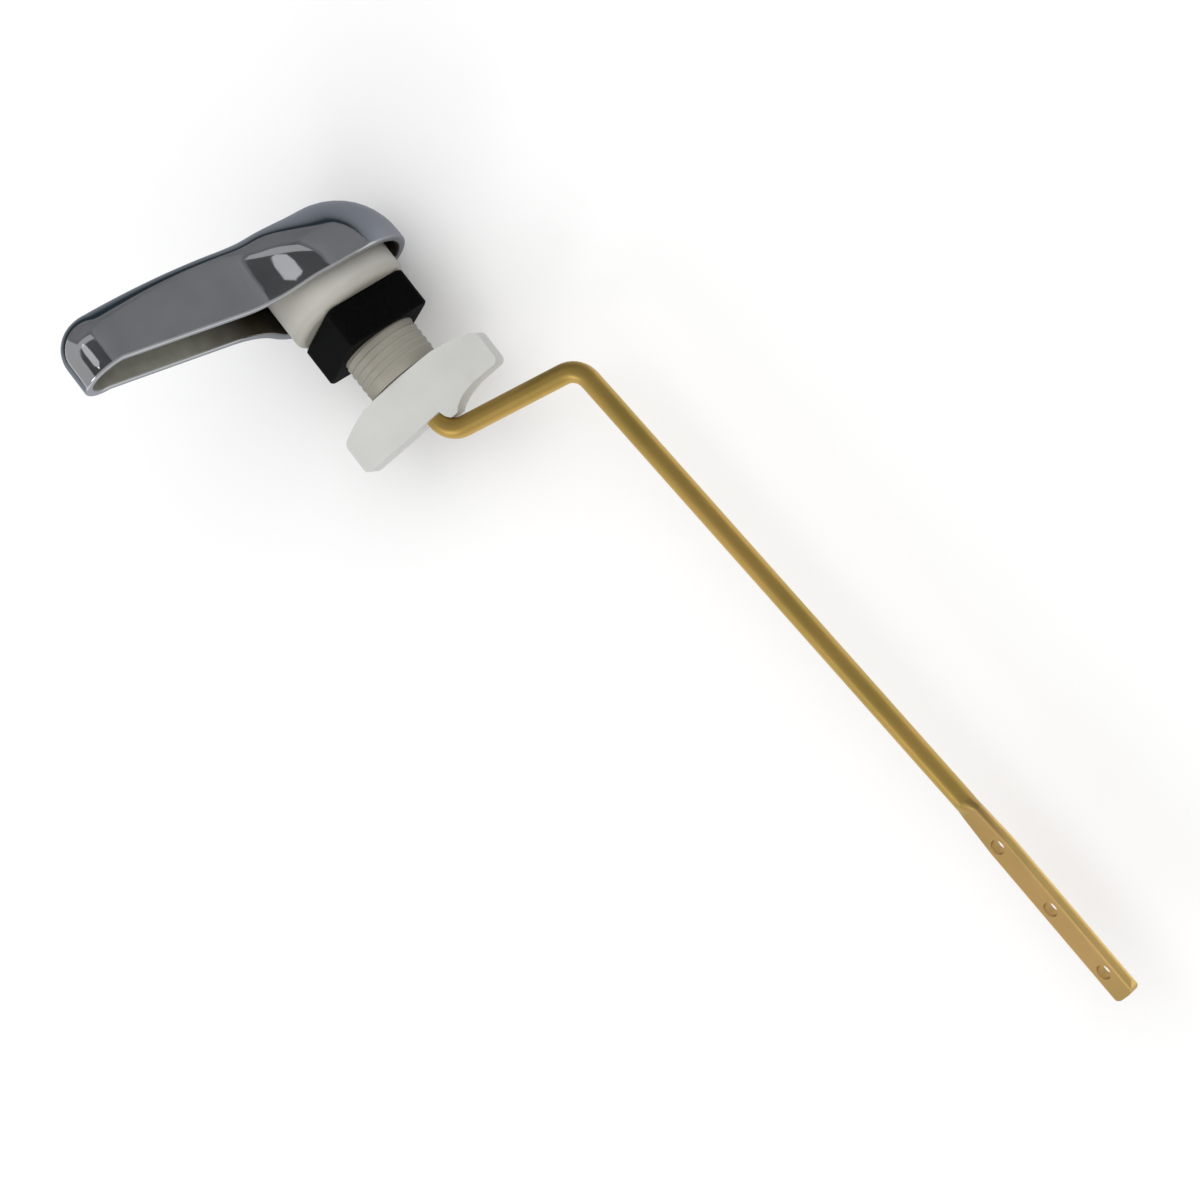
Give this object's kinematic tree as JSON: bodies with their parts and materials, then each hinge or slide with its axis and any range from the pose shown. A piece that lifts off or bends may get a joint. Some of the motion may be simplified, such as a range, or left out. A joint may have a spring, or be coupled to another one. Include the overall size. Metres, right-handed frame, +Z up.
{
  "type": "cistern lever",
  "caption": "Side-mount cistern lever with a domed chromed handle, a threaded plastic bushing, a square lock nut and a bent brass lift rod that pulls the flush valve's chain.",
  "frame": {"origin": "on the spindle axis, at the bushing's seat on the tank wall", "axes": "+X along the spindle into the tank, +Y the way the crank points at rest, +Z up"},
  "size_m": [0.2479, 0.0916, 0.0651],
  "materials": {
    "chrome": "polished plating on a die-cast shell",
    "steel": "plain",
    "bushing_plastic": "natural moulded, slightly translucent",
    "black_plastic": "matte moulded",
    "white_plastic": "natural moulded, slightly translucent",
    "brass": "satin drawn rod"
  },
  "bodies": {
    "bushing": {"bushing": "bushing_plastic"},
    "lever": {"handle": "chrome", "set_screw": "steel", "spindle": "white_plastic", "lift_rod": "brass"},
    "lock_nut": {"lock_nut": "black_plastic"}
  },
  "joints": [
    {"name": "handle_turn", "type": "hinge", "parent": "bushing", "child": "lever", "pos_m": [0, 0, 0], "axis": [1, 0, 0], "range_deg": [0, 45]},
    {"name": "nut_travel", "type": "slide", "parent": "bushing", "child": "lock_nut", "axis": [1, 0, 0], "range_m": [0, 0.0084]}
  ]
}
